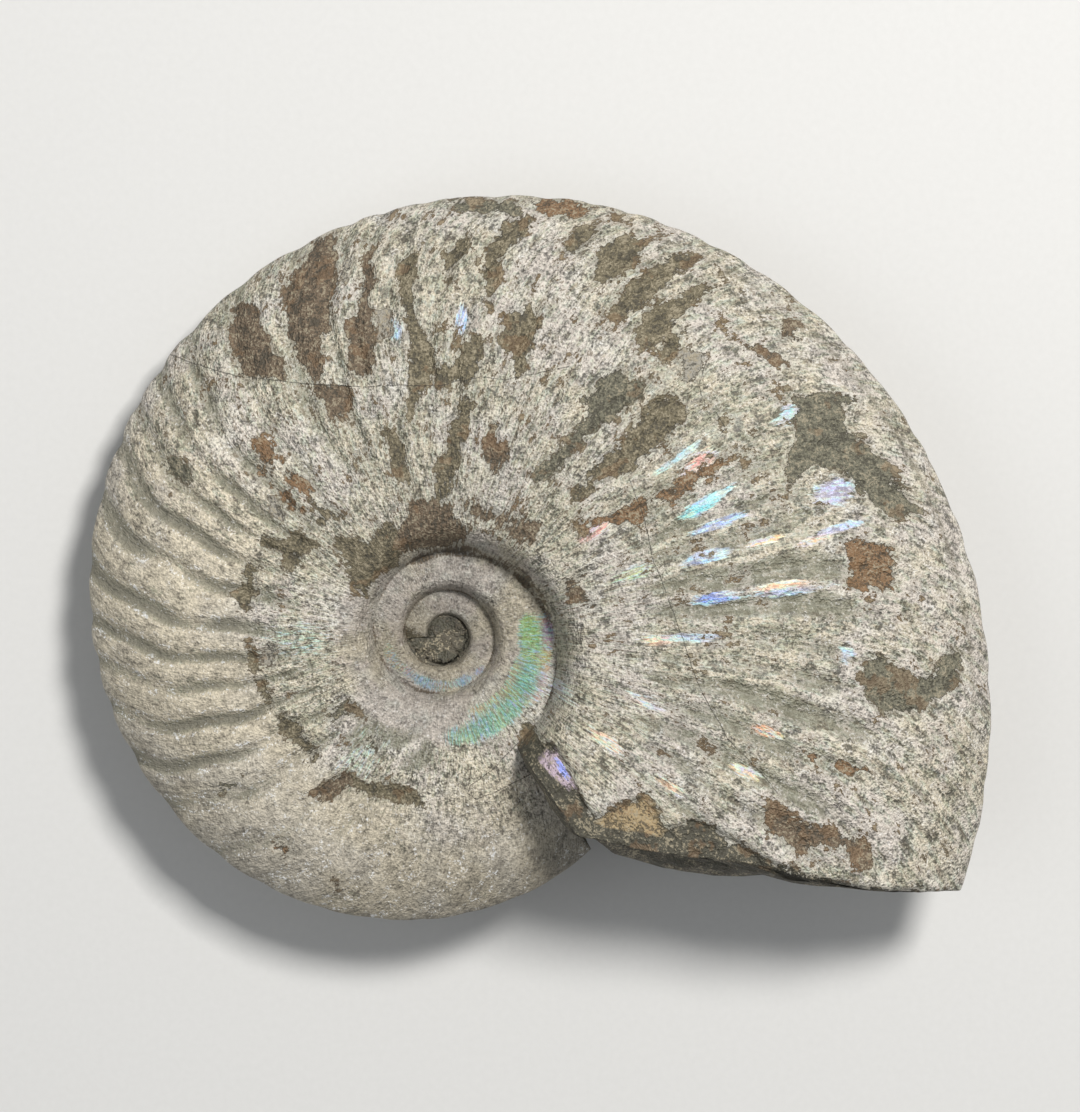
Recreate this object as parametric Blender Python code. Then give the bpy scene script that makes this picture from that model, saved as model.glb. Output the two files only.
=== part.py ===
# A loose fossil ammonite lying on its lower flank, with its outer end broken off.
# The shell is a logarithmic spiral that grows clockwise as seen from above. Every point has a
# turn angle in degrees, clockwise from +X, and a place across the whorl, which is its distance
# from the coil axis as a fraction of the spiral's outer radius at that angle.
# The frame's origin is below the middle of the bounding box, on the surface that the fossil lies on.

from math import cos, exp, pi, radians, sin

import bmesh
import bpy
import numpy as np
from mathutils import Matrix, Vector, noise

# Spiral and whorl section
OUTER_RADIUS = 0.0838          # outer radius where the last turn crosses +X
TURN_GROWTH = 2.374            # how much the radius grows in one turn
HALF_THICKNESS = 0.195         # half the whorl's thickness, as a fraction of its outer radius
THICKEST_AT = 0.40             # place of the thickest part of the flank
FLANK_POWER = 0.66             # roundness of the flank, lower is boxier
SEAM_AT = 0.19                 # place of the umbilical seam where the last turn is tightest
EARLY_SEAM_SHIFT = 0.07        # how much further out the seam is on the earliest turns
EARLY_SEAM_MIDDLE = -370.0     # turn angle by which it has come half of the way in
EARLY_SEAM_REACH = 65.0        # degrees that set how slowly it comes in
LATE_SEAM_SHIFT = 0.02         # how much the seam moves out again towards the broken end
LATE_SEAM_FROM = -85.0         # turn angle where it starts to
LATE_SEAM_REACH = 140.0        # degrees over which it does
WALL_WIDTH = 0.062             # width of the umbilical wall and its shoulder, as a fraction of radius
WALL_POWER = 0.75              # lower makes the wall steeper at its foot

# Ribs, with four columns of the mesh to each
RIBS_PER_TURN = 50
RIB_SPREAD = 13.0              # degrees, which sets the ribs wider apart on the -X side
WIDEST_COLUMN = -164           # the column where they stand widest
RIB_HEIGHT = 0.0110            # crest above furrow where the ribs are boldest, as a fraction of radius
BOLDEST_ANGLE = -185.0         # turn angle where they are boldest
RIB_START = 0.38               # place where they begin to rise
RIB_RISE = 0.26                # and the width over which they do
RIB_VENTER_LOSS = 0.6          # share of their height lost at the venter
RIB_FAINTEST = 0.32            # height opposite the boldest ribs, as a share of theirs
LEAN_START = 0.475             # place where they begin to lean
RIB_LEAN = 2.6                 # degrees that a rib leans forward over the outer flank
RIB_HOOK = 8.0                 # further degrees that it swings forward near the venter
RIB_HOOK_POWER = 3.5

# Broken end, whose line is given as turn angles at places across the whorl
BREAK_PLACES = (0.19, 0.38, 0.41, 0.50, 0.606, 0.66, 0.77, 0.885, 1.0)
BREAK_ANGLES = (55.5, 55.5, 51.5, 44.2, 37.3, 35.4, 32.5, 29.6, 26.3)
END_BULGE = 0.0014             # how far the broken rock stands out between its edges
END_ROUGHNESS = 0.0012
END_LUMP = 0.011               # size of the lumps on it
END_ROWS = 5

# Plug of rock over the earliest turns
PLUG_TURNS = 0.72              # turns kept inside the last two
PLUG_HEIGHT = 0.0013
PLUG_ROUGHNESS = 0.0006
PLUG_LUMP = 0.0022
PLUG_RINGS = ((0.30, 24), (0.68, 12))     # share of the way to the middle, and vertices

# Mesh: columns run across the whorl, and rows along the spiral
WALL_ROWS = (0.0, 0.016, 0.044, 0.11)                       # places beyond the seam
FLANK_ROWS = (19.0, 29.0, 39.0, 49.0, 59.0, 68.0, 76.5, 84.0, 90.0)    # degrees round the flank
COVER_ROW = len(WALL_ROWS)
VENTER_ROW = COVER_ROW + len(FLANK_ROWS)
COLUMNS_PER_RIB = 4            # on the outer flank; the rows up to the edge of cover have one
COLUMNS = RIBS_PER_TURN * COLUMNS_PER_RIB
FIRST_COLUMN = -COLUMNS_PER_RIB * round(RIBS_PER_TURN * (2.0 + PLUG_TURNS))
LEAN_RETURNS = 20              # columns past the break below, over which the ribs' lean returns

# Rest: the coil leans on its thick outer end, and worn spots on the flank lie flat
LEAN = 5.0                     # degrees between the coil axis and the vertical
LEAN_TOWARDS = 111.0           # direction of its upper end, anticlockwise from +X
AXIS_POINT = (-0.0148, -0.0120, 0.0151)     # where the coil axis crosses the mid-plane


def radius(angle):
    """The spiral's outer radius at a turn angle."""
    return OUTER_RADIUS * TURN_GROWTH ** (angle / 360.0)


def spread(column):
    """Degrees by which the uneven rib spacing moves a column."""
    return RIB_SPREAD * sin(2.0 * pi * (column - WIDEST_COLUMN) / COLUMNS)


def column_angle(column):
    """Turn angle of a column at the umbilical seam. Column 0 is the broken end."""
    return BREAK_ANGLES[0] + 360.0 * column / COLUMNS + spread(column) - spread(0)


def seam_place(angle):
    """Place of the umbilical seam."""
    early = EARLY_SEAM_SHIFT / (1.0 + exp((angle - EARLY_SEAM_MIDDLE) / EARLY_SEAM_REACH))
    late = min(1.0, max(0.0, (angle - LATE_SEAM_FROM) / LATE_SEAM_REACH))
    return SEAM_AT + early + LATE_SEAM_SHIFT * late * late * (3.0 - 2.0 * late)


def cover_place(angle):
    """Place up to which a whorl stays bare beside the next one."""
    return seam_place(angle + 360.0) * TURN_GROWTH


def flank_height(place):
    """Height of the bare flank above the mid-plane, as a fraction of the outer radius."""
    across = (place - THICKEST_AT) / (1.0 - THICKEST_AT)
    return HALF_THICKNESS * max(0.0, 1.0 - across * across) ** FLANK_POWER


def section_height(angle, place):
    """The flank with its umbilical wall, which rises from the seam as a quarter superellipse."""
    foot = flank_height(cover_place(angle - 360.0)) / TURN_GROWTH
    climb = min(1.0, max(0.0, (place - seam_place(angle)) / WALL_WIDTH))
    share = (1.0 - (1.0 - climb) ** 2) ** WALL_POWER
    return foot + (flank_height(place) - foot) * share


def rib_lean(column, place):
    """Degrees by which a rib has swung forward from the seam."""
    across = max(0.0, (place - LEAN_START) / (1.0 - LEAN_START))
    returned = min(1.0, max(0.0, (column + COLUMNS) / LEAN_RETURNS))
    return returned * (RIB_LEAN * across + RIB_HOOK * across ** RIB_HOOK_POWER)


def rib_relief(column, angle, place):
    """Push along the normal, a wave from crest to furrow that fades towards umbilicus and venter."""
    wave = 0.5 * cos(2.0 * pi * (column / COLUMNS_PER_RIB + 0.5))
    rising = min(1.0, max(0.0, (place - RIB_START) / RIB_RISE))
    boldness = 0.5 + 0.5 * cos(radians(angle - BOLDEST_ANGLE))
    height = RIB_HEIGHT * (RIB_FAINTEST + (1.0 - RIB_FAINTEST) * boldness)
    return height * wave * rising * (1.0 - RIB_VENTER_LOSS * place ** 12)


def flank_point(angle, place, relief):
    """The point on the upper flank, moved along the section's normal by its relief."""
    step = 0.002
    rise = (flank_height(place) - flank_height(place - step)) / step
    normal = Vector((-rise, 1.0)).normalized() if place < 0.999 else Vector((1.0, 0.0))
    reach = radius(angle) * (place + relief * normal.x)
    height = radius(angle) * (section_height(angle, place) + relief * normal.y)
    return Vector((reach * cos(radians(angle)), -reach * sin(radians(angle)), height))


def row_place(row, angle):
    """Place of a row: up the wall from the seam, the edge of cover, then over the flank to the venter."""
    if row < COVER_ROW:
        return seam_place(angle) + WALL_ROWS[row]
    if row == COVER_ROW:
        return cover_place(angle)
    return THICKEST_AT + (1.0 - THICKEST_AT) * sin(radians(FLANK_ROWS[row - COVER_ROW - 1]))


def row_columns(row):
    """The columns of a row: one for each rib up to the edge of cover, and all of them beyond it."""
    if row <= COVER_ROW:
        return range(FIRST_COLUMN, 1, COLUMNS_PER_RIB)
    return range(-COLUMNS, 1)


def row_vertices(mesh, row, side):
    """One row's vertices by column, up to the broken end."""
    vertices = {}
    columns = row_columns(row)
    for column in columns:
        angle = column_angle(column)
        place = row_place(row, angle)
        turned = angle + rib_lean(column, place)
        end = float(np.interp(place, BREAK_PLACES, BREAK_ANGLES))
        at_end = turned > end - 0.5 * (column_angle(column + columns.step) - angle)
        turned = end if at_end else turned
        point = flank_point(turned, place, rib_relief(column, turned, place))
        vertices[column] = mesh.verts.new((point.x, point.y, side * point.z))
        if at_end:
            break
    return vertices


def join(mesh, first, second):
    """Triangles between two rows given as {key: vertex}, stepping along the row whose key lags behind."""
    keys, others = sorted(first), sorted(second)
    i = 0
    j = 0
    while keys[i] < others[0]:
        i += 1
    while i < len(keys) - 1 or j < len(others) - 1:
        last = j == len(others) - 1
        if i < len(keys) - 1 and (last or keys[i + 1] <= others[j + 1]):
            corners = (first[keys[i]], first[keys[i + 1]], second[others[j]])
            i += 1
        else:
            corners = (first[keys[i]], second[others[j + 1]], second[others[j]])
            j += 1
        if len(set(corners)) == 3:
            mesh.faces.new(corners)


def by_share(vertices):
    """Vertices in order, keyed by their share of the way along."""
    return {k / (len(vertices) - 1): vertex for k, vertex in enumerate(vertices)}


def flank(mesh, side, venter):
    """One flank's rows. Beyond the first turn, the seam row is the edge of cover a turn before it."""
    rows = [{}] + [row_vertices(mesh, row, side) for row in range(1, VENTER_ROW)] + [venter]
    for column, vertex in row_vertices(mesh, 0, side).items():
        before = rows[COVER_ROW].get(column - COLUMNS)
        if before:
            mesh.verts.remove(vertex)
        rows[0][column] = before or vertex
    for inner, outer in zip(rows, rows[1:]):
        join(mesh, inner, outer)
    return rows


def along(points, share):
    """The point at a share of a polyline's length."""
    lengths = [(b - a).length for a, b in zip(points, points[1:])]
    places = np.concatenate(([0.0], np.cumsum(lengths)))
    return Vector([np.interp(share * places[-1], places, [p[k] for p in points]) for k in range(3)])


def broken_end(mesh, upper, lower):
    """The rough face of rock between the broken edge and the whorl below it."""
    outer = [row[max(row)] for row in upper] + [row[max(row)] for row in lower[-2::-1]]
    inner = [row[-COLUMNS] for row in upper[COVER_ROW:]] + [row[-COLUMNS] for row in lower[-2:COVER_ROW - 1:-1]]
    outer_points = [vertex.co.copy() for vertex in outer]
    inner_points = [vertex.co.copy() for vertex in inner]
    facing = radians(BREAK_ANGLES[-1])
    forward = Vector((-sin(facing), -cos(facing), 0.0))
    before = by_share(outer)
    for row in range(1, END_ROWS):
        share = row / END_ROWS
        count = round(len(outer) + (len(inner) - len(outer)) * share)
        line = [outer[0]]
        for k in range(1, count - 1):
            place = k / (count - 1)
            point = along(outer_points, place).lerp(along(inner_points, place), share)
            fullness = sin(pi * share) * sin(pi * place) ** 0.5
            lump = END_BULGE + END_ROUGHNESS * noise.noise(point / END_LUMP)
            line.append(mesh.verts.new(point + forward * lump * fullness))
        line.append(outer[-1])
        join(mesh, before, by_share(line))
        before = by_share(line)
    join(mesh, before, by_share(inner))


def plug(mesh, rows, side):
    """The cap of rock inside the innermost seam, with the step where that seam closes on itself."""
    seam = [rows[0][column] for column in sorted(rows[0]) if column < FIRST_COLUMN + COLUMNS]
    step = [rows[row][FIRST_COLUMN] for row in range(COVER_ROW, 0, -1)]
    loop = seam + step + seam[:1]
    points = [vertex.co.copy() for vertex in loop]
    middle = sum(points[1:], Vector()) / (len(points) - 1)
    middle.z = side * PLUG_HEIGHT
    before = by_share(loop)
    for share, count in PLUG_RINGS:
        ring = []
        for k in range(count):
            point = along(points, k / count).lerp(middle, share)
            point.z = side * (PLUG_HEIGHT + PLUG_ROUGHNESS * noise.noise(point / PLUG_LUMP))
            ring.append(mesh.verts.new(point))
        ring = by_share(ring + ring[:1])
        join(mesh, before, ring)
        before = ring
    join(mesh, before, {0.0: mesh.verts.new(middle)})


def settle(mesh):
    """Leans the coil to its rest and wears its lowest spots flat on the surface below."""
    across = Vector((-sin(radians(LEAN_TOWARDS)), cos(radians(LEAN_TOWARDS)), 0.0))
    mesh.transform(Matrix.Translation(AXIS_POINT) @ Matrix.Rotation(radians(LEAN), 4, across))
    for vertex in mesh.verts:
        vertex.co.z = max(0.0, vertex.co.z)


def pearly_shell():
    """Chalky grey-cream shell with a soft pearly gloss."""
    material = bpy.data.materials.new("pearly_shell")
    material.use_nodes = True
    shader = material.node_tree.nodes["Principled BSDF"]
    shader.inputs["Base Color"].default_value = (0.50, 0.45, 0.39, 1.0)
    shader.inputs["Roughness"].default_value = 0.5
    shader.inputs["Metallic"].default_value = 0.0
    return material


def ammonite():
    """The whole fossil, one solid."""
    mesh = bmesh.new()
    venter = row_vertices(mesh, VENTER_ROW, 0.0)
    upper = flank(mesh, 1.0, venter)
    lower = flank(mesh, -1.0, venter)
    broken_end(mesh, upper, lower)
    plug(mesh, upper, 1.0)
    plug(mesh, lower, -1.0)
    bmesh.ops.recalc_face_normals(mesh, faces=mesh.faces[:])
    settle(mesh)
    data = bpy.data.meshes.new("ammonite")
    mesh.to_mesh(data)
    mesh.free()
    data.materials.append(pearly_shell())
    data.shade_smooth()
    data.set_sharp_from_angle(angle=radians(35.0))
    fossil = bpy.data.objects.new("ammonite", data)
    bpy.context.scene.collection.objects.link(fossil)


for existing in list(bpy.data.objects):
    bpy.data.objects.remove(existing, do_unlink=True)
ammonite()
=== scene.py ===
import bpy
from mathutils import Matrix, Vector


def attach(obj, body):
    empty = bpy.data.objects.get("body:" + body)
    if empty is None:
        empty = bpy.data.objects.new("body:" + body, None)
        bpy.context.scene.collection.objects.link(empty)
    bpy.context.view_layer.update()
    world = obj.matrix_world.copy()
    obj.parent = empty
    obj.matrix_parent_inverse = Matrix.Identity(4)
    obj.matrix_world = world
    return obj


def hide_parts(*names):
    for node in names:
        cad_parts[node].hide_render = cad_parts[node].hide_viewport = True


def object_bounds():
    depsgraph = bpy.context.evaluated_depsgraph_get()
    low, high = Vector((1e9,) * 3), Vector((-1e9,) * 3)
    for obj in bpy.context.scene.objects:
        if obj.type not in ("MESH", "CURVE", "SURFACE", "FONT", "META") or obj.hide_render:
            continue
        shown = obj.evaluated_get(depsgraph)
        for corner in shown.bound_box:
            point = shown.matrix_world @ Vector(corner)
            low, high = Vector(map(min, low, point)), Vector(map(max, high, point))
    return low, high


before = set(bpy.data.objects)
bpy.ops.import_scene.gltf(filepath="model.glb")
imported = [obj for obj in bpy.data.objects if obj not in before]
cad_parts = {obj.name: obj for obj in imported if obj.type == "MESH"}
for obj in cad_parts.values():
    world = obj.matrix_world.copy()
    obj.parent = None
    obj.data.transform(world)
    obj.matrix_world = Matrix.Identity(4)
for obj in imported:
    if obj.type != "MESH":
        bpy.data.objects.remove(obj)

from types import SimpleNamespace

import bmesh
import bpy
import numpy as np
from mathutils import Matrix, Vector

cadBox = [list(corner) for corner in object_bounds()]
mm = 0.001

# The shell is a logarithmic spiral that grows clockwise as seen from above. A point on it has a turn
# angle, clockwise from +X, and a place, its distance from the coil axis over the spiral's outer
# radius at that angle. A reading is the anticlockwise angle from +X and the place at which the eye,
# above the shell, sees a point.
form = dict(
    outerRadius=0.0838,              # where the last turn crosses +X
    turnGrowth=2.374,                # growth of the radius in one turn
    halfThickness=0.195,             # of the whorl, as a fraction of its outer radius
    thickestAt=0.40,                 # place of the thickest part of the flank
    flankPower=0.66,                 # lower is boxier
    seamAt=0.19,                     # place of the umbilical seam where it is tightest
    earlySeam=(0.07, -370.0, 65.0),  # how much further out on early turns, half of it by, over degrees
    lateSeam=(0.02, -85.0, 140.0),   # how much further out near the end, from, over degrees
    wallWidth=0.062,                 # umbilical wall and its shoulder
    wallPower=0.75,                  # lower is steeper at the foot
    breakPlaces=(0.19, 0.38, 0.41, 0.50, 0.606, 0.66, 0.77, 0.885, 1.0),
    breakAngles=(55.5, 55.5, 51.5, 44.2, 37.3, 35.4, 32.5, 29.6, 26.3),
    firstAngle=-904.3,               # where the coil comes out from under its plug
    plainInside=-330.0,              # turns inside this angle have no ribs and little wear
    lean=5.0,                        # degrees between the coil axis and the vertical
    leanTowards=111.0,
    axisPoint=(-0.0148, -0.0120, 0.0151),
)

meshSize = dict(
    columns=660,                     # on the last turn, and a third of it on each turn inside
    upperRows=(9, 19, 72),           # up the umbilical wall, on to the edge of cover, on to the venter
    lowerRows=(4, 8, 22),
    endRows=14,
    plugRings=((0.10, 200), (0.28, 140), (0.50, 90), (0.72, 48), (0.90, 20)),
)

ribs = dict(
    height=1.35,                     # mm from furrow to crest at the boldest
    heightAt=0.070,                  # the outer radius, in metres, at which that is the height
    boldestAngle=-178.0,
    faintest=0.45,
    leanStart=0.475,
    lean=2.6,                        # degrees forward over the outer flank
    hook=8.0,                        # further degrees near the venter
    hookPower=3.5,
    sharpness=4.5,                   # higher is a narrower furrow
    wobble=(0.07, 23, 9),            # of a rib, as a share of it, with waves along it and round the coil
    readAt=0.9,                      # the place at which the furrows are read
    # furrows as anticlockwise angles, with their depths
    furrows=(
        (300, .10), (290, .15), (280, .20), (270, .20), (260, .30), (250, .35), (239, .45), (228.5, .5),
        (215, .6), (206, .8), (196.8, 1.), (188.3, .7), (181.2, .8), (173, .9), (162.5, 1.), (154, 1.),
        (147.5, .7), (141, .9), (134.3, .8), (125, .8), (115.5, .7), (107, .7), (102.5, .6), (96.5, .7),
        (88, .6), (82, .6), (76, .5), (71, .6), (66, .5), (60, .6), (54.5, .5), (48, .5), (41, .5),
        (36.8, .4), (27.8, .5), (24.3, .4), (18.3, .5), (13.8, .5), (5.8, .9), (.3, .9), (-6.7, .4),
        (-11, .4), (-16.7, 1.), (-23, .5), (-29, .9), (-35, .5), (-41, .4), (-47, .4), (-53, .3)),
)


def radiusAt(angle):
    # outer radius times growth to the power of the turns
    return form["outerRadius"] * form["turnGrowth"] ** (angle / 360)


def smooth(x):
    # 0 below 0, 1 above 1, and 3x^2 - 2x^3 between
    x = np.clip(x, 0, 1)
    return x * x * (3 - 2 * x)


def beyond(value, start, width):
    # 0 up to start, 1 from a width further on, smooth between
    return smooth((value - start) / width)


def angleApart(angle, other):
    # degrees between two directions, 0 to 180
    return np.abs((angle - other + 180) % 360 - 180)


def seamPlace(angle):
    # the tightest seam, plus a logistic step for the early turns and a smooth step near the end
    early, middle, reach = form["earlySeam"]
    late, start, width = form["lateSeam"]
    earlyStep = early / (1 + np.exp((angle - middle) / reach))
    return form["seamAt"] + earlyStep + late * beyond(angle, start, width)


def flankHeight(place):
    # half thickness times (1 - a^2)^power, where a runs from 0 at the thickest place to 1 at the venter
    across = (place - form["thickestAt"]) / (1 - form["thickestAt"])
    return form["halfThickness"] * np.maximum(0, 1 - across * across) ** form["flankPower"]


def sectionHeight(angle, place):
    # a quarter superellipse from the foot of the wall, which stands on the turn below, up to the flank
    foot = flankHeight(seamPlace(angle) * form["turnGrowth"]) / form["turnGrowth"]
    climb = np.clip((place - seamPlace(angle)) / form["wallWidth"], 0, 1)
    return foot + (flankHeight(place) - foot) * (1 - (1 - climb) ** 2) ** form["wallPower"]


def ribLean(place):
    # degrees forward: a straight part, and a power of the way across that hooks near the venter
    across = np.maximum(0, (place - ribs["leanStart"]) / (1 - ribs["leanStart"]))
    return ribs["lean"] * across + ribs["hook"] * across ** ribs["hookPower"]


def waves(points, size, seed, count=14):
    # a smooth random field near -1 to 1: the mean of sines that run in random directions, with
    # wavelengths around size
    rng = np.random.default_rng(seed)
    ways = rng.normal(size=(count, points.shape[-1]))
    ways /= np.linalg.norm(ways, axis=1, keepdims=True)
    ways *= 2 * np.pi / (size * rng.uniform(0.6, 1.7, size=(count, 1)))
    phases = rng.uniform(0, 2 * np.pi, count)
    return np.sin(points @ ways.T + phases).mean(-1) * np.sqrt(count) * 0.6


unevenness = dict(
    # what is uneven in waves: height in metres or as a share, wavelength in metres, seed
    swell=(0.12 * mm, 0.011, 5), ribPatches=(0.5, 0.013, 71),
    chipEdge=(0.35 * mm, 0.003, 11), bareEdge=(0.15 * mm, 0.002, 21), bareDepth=(0.35 * mm, 0.004, 22),
    endLumps=(1.0 * mm, 0.012, 31), endGrain=(0.5 * mm, 0.005, 32),
    plugLumps=(0.45 * mm, 0.0035, 41), plugGrain=(0.2 * mm, 0.0012, 42),
    lowerChips=(1.4 * mm, 0.012, 61), greenPatches=(0.9, 0.006, 81),
)


def uneven(name, points):
    # one of the wave fields, times its height
    height, size, seed = unevenness[name]
    return height * waves(points, size, seed)


def ribField(angle, place):
    # how deep in a furrow a point is, from 0 on a crest to 1, and that furrow's own depth: a power of
    # the cosine of the count of furrows passed
    furrow, depth = np.array(ribs["furrows"], float).T
    reading = -(angle - ribLean(place) + ribLean(ribs["readAt"]))
    count = np.arange(len(furrow))
    share, alongRib, aroundCoil = ribs["wobble"]
    wobble = share * np.sin(place * alongRib + np.radians(angle) * aroundCoil)
    passed = np.interp(-reading, -furrow, count) + wobble
    return np.abs(np.cos(np.pi * passed)) ** ribs["sharpness"], np.interp(passed, count, depth)


# Marks of the upper flank as the eye sees it from above, in pixels of the picture
picture = dict(coilMiddle=(444, 635), pixel=0.0001545)

# Bare rock where the shell has flaked off: its colour, then the outlines
chips = dict(
    umber=[
        [(315, 240), (335, 235), (336, 280), (330, 305), (333, 330), (316, 345), (322, 368), (332, 381),
         (315, 381), (297, 360), (287, 335), (284, 290), (300, 268)],
        [(232, 306), (256, 304), (262, 325), (275, 350), (285, 377), (262, 382), (240, 375), (231, 340)],
        [(367, 257), (377, 280), (372, 295), (375, 330), (371, 370), (357, 381), (347, 365), (352, 345),
         (340, 325), (357, 315), (362, 280)],
        [(310, 383), (345, 384), (352, 400), (340, 420), (327, 418), (322, 400)],
        [(490, 420), (497, 425), (495, 448), (510, 440), (507, 460), (500, 480), (490, 475), (482, 455)],
        [(460, 500), (472, 505), (510, 509), (512, 518), (535, 519), (542, 526), (535, 541), (520, 540),
         (490, 520), (465, 516)],
        [(765, 808), (780, 805), (795, 820), (855, 838), (868, 850), (871, 871), (858, 868), (850, 851),
         (820, 845), (800, 851), (762, 826)],
        [(562, 576), (585, 570), (580, 590), (600, 605), (590, 612), (567, 594)],
        [(745, 345), (775, 350), (792, 366), (770, 361)],
        [(787, 318), (800, 325), (797, 346), (785, 336)],
        [(345, 770), (355, 780), (345, 792), (322, 800), (314, 795), (326, 781)],
        [(332, 883), (342, 885), (337, 893)],
        [(412, 503), (440, 495), (452, 512), (470, 530), (462, 543), (430, 549), (405, 552), (380, 556),
         (395, 530)],
    ],
    olive=[
        [(400, 252), (415, 255), (415, 310), (425, 335), (436, 350), (432, 375), (417, 405), (410, 421),
         (406, 380), (410, 345), (400, 290)],
        [(442, 260), (455, 240), (470, 235), (467, 255), (447, 286)],
        [(455, 360), (475, 335), (483, 345), (482, 370), (470, 386), (440, 385), (432, 372)],
        [(465, 393), (475, 405), (467, 430), (460, 460), (452, 490), (440, 515), (431, 500), (435, 475),
         (452, 420)],
        [(385, 430), (396, 435), (405, 455), (413, 480), (409, 491), (390, 460)],
        [(500, 222), (535, 215), (522, 240), (500, 258), (492, 312), (483, 280), (485, 255)],
        [(510, 310), (530, 305), (542, 320), (525, 370), (514, 382), (512, 355), (500, 345)],
        [(575, 227), (597, 230), (590, 242), (577, 256), (566, 250)],
        [(605, 240), (625, 235), (647, 242), (640, 255), (610, 281), (591, 281), (590, 268)],
        [(675, 250), (701, 257), (675, 275), (635, 315), (613, 316), (617, 300), (640, 280)],
        [(705, 285), (718, 285), (690, 306), (655, 345), (640, 351), (634, 331), (645, 315), (670, 300)],
        [(670, 335), (687, 330), (680, 346), (665, 358), (659, 350)],
        [(655, 400), (675, 394), (688, 415), (665, 441), (635, 471), (590, 481), (584, 471), (620, 445),
         (640, 415)],
        [(575, 486), (592, 481), (595, 490), (570, 503)],
        [(310, 500), (327, 503), (341, 517), (320, 531)],
        [(260, 533), (280, 540), (297, 533), (317, 546), (303, 554), (300, 568), (284, 570), (286, 553),
         (257, 547)],
        [(333, 537), (367, 541), (387, 522), (401, 527), (400, 567), (380, 571), (366, 595), (353, 591),
         (347, 567)],
        [(243, 566), (262, 562), (260, 580), (250, 611), (239, 611), (235, 598), (243, 588)],
        [(247, 643), (253, 647), (258, 671), (250, 669)],
        [(255, 680), (262, 680), (274, 707), (269, 710)],
        [(275, 713), (293, 716), (313, 743), (318, 764), (307, 764), (300, 747), (279, 728)],
        [(350, 775), (370, 784), (397, 785), (424, 796), (424, 808), (385, 797), (359, 795)],
        [(520, 722), (532, 720), (536, 738), (524, 742)],
    ],
    greenGrey=[
        [(450, 198), (520, 203), (522, 216), (480, 213), (455, 211)],
        [(612, 367), (622, 367), (628, 384), (645, 380), (640, 395), (610, 421), (588, 436), (550, 480),
         (535, 483), (532, 474), (570, 440), (585, 415), (581, 399)],
        [(795, 395), (850, 392), (859, 400), (837, 410), (862, 445), (880, 455), (905, 490), (920, 513),
         (900, 518), (870, 505), (840, 470), (815, 464), (790, 486), (783, 470), (795, 438)],
        [(865, 660), (880, 655), (915, 680), (935, 670), (950, 648), (963, 655), (958, 685), (912, 716),
         (885, 713), (866, 700), (859, 680)],
        [(327, 713), (347, 699), (367, 717), (347, 713), (333, 724)],
        [(370, 733), (380, 740), (377, 751), (366, 747)],
        [(218, 780), (240, 778), (236, 791), (219, 791)],
        [(160, 466), (172, 458), (190, 468), (196, 484), (183, 482)],
    ],
    rust=[
        [(280, 459), (297, 470), (317, 490), (306, 493), (283, 474)],
        [(253, 442), (275, 447), (270, 460), (274, 471), (266, 481), (256, 477), (262, 460)],
        [(273, 486), (288, 490), (301, 511), (292, 509)],
        [(610, 513), (665, 490), (705, 465), (721, 459), (710, 476), (645, 511), (638, 526), (592, 523)],
        [(832, 539), (850, 535), (885, 545), (894, 556), (893, 591), (850, 586), (850, 560)],
        [(525, 201), (560, 198), (590, 206), (580, 215), (540, 214)],
        [(275, 845), (285, 839), (296, 850), (284, 861)],
        [(840, 765), (870, 765), (868, 774), (844, 772)],
        [(800, 752), (821, 755), (814, 763)],
    ],
    grey=[
        [(263, 653), (270, 640), (276, 643), (273, 664), (263, 664)],
        [(266, 496), (277, 500), (290, 520), (283, 522), (270, 510)],
        [(345, 257), (354, 256), (352, 279), (342, 282)],
        [(378, 312), (392, 306), (394, 334), (382, 340)],
        [(680, 352), (705, 352), (702, 376), (683, 383)],
    ],
)


def fromPicture(pixels):
    # plan position in metres of pixels of the picture
    across, down = np.array(pixels, float).T
    middleAcross, middleDown = picture["coilMiddle"]
    return np.stack([across - middleAcross, middleDown - down], -1) * picture["pixel"]


def insideBy(points, outline):
    # signed distance in metres to an outline, positive inside: the nearest edge, with the sign from
    # how many edges lie to the right
    distance = np.full(len(points), 1e9)
    inside = np.zeros(len(points), bool)
    for a, b in zip(outline, np.roll(outline, -1, 0)):
        edge = b - a
        share = np.clip((points - a) @ edge / max(edge @ edge, 1e-12), 0, 1)
        distance = np.minimum(distance, np.linalg.norm(points - a - share[:, None] * edge, axis=1))
        crosses = (a[1] > points[:, 1]) != (b[1] > points[:, 1])
        at = a[0] + (points[:, 1] - a[1]) * edge[0] / (edge[1] if abs(edge[1]) > 1e-12 else 1e-12)
        inside ^= crosses & (points[:, 0] < at)
    return np.where(inside, distance, -distance)


chipColours = dict(
    umber=(0.140, 0.102, 0.066), olive=(0.150, 0.128, 0.080), greenGrey=(0.145, 0.138, 0.098),
    rust=(0.200, 0.120, 0.062), endRock=(0.075, 0.070, 0.050), ochre=(0.36, 0.27, 0.15),
    endNacre=(0.50, 0.40, 0.46), endPaintedGlint=(0.35, 0.42, 0.95), grey=(0.30, 0.28, 0.235),
)
smallChipsBeyond = 1.5 * mm          # chips further than this from a drawn one are olive

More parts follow.
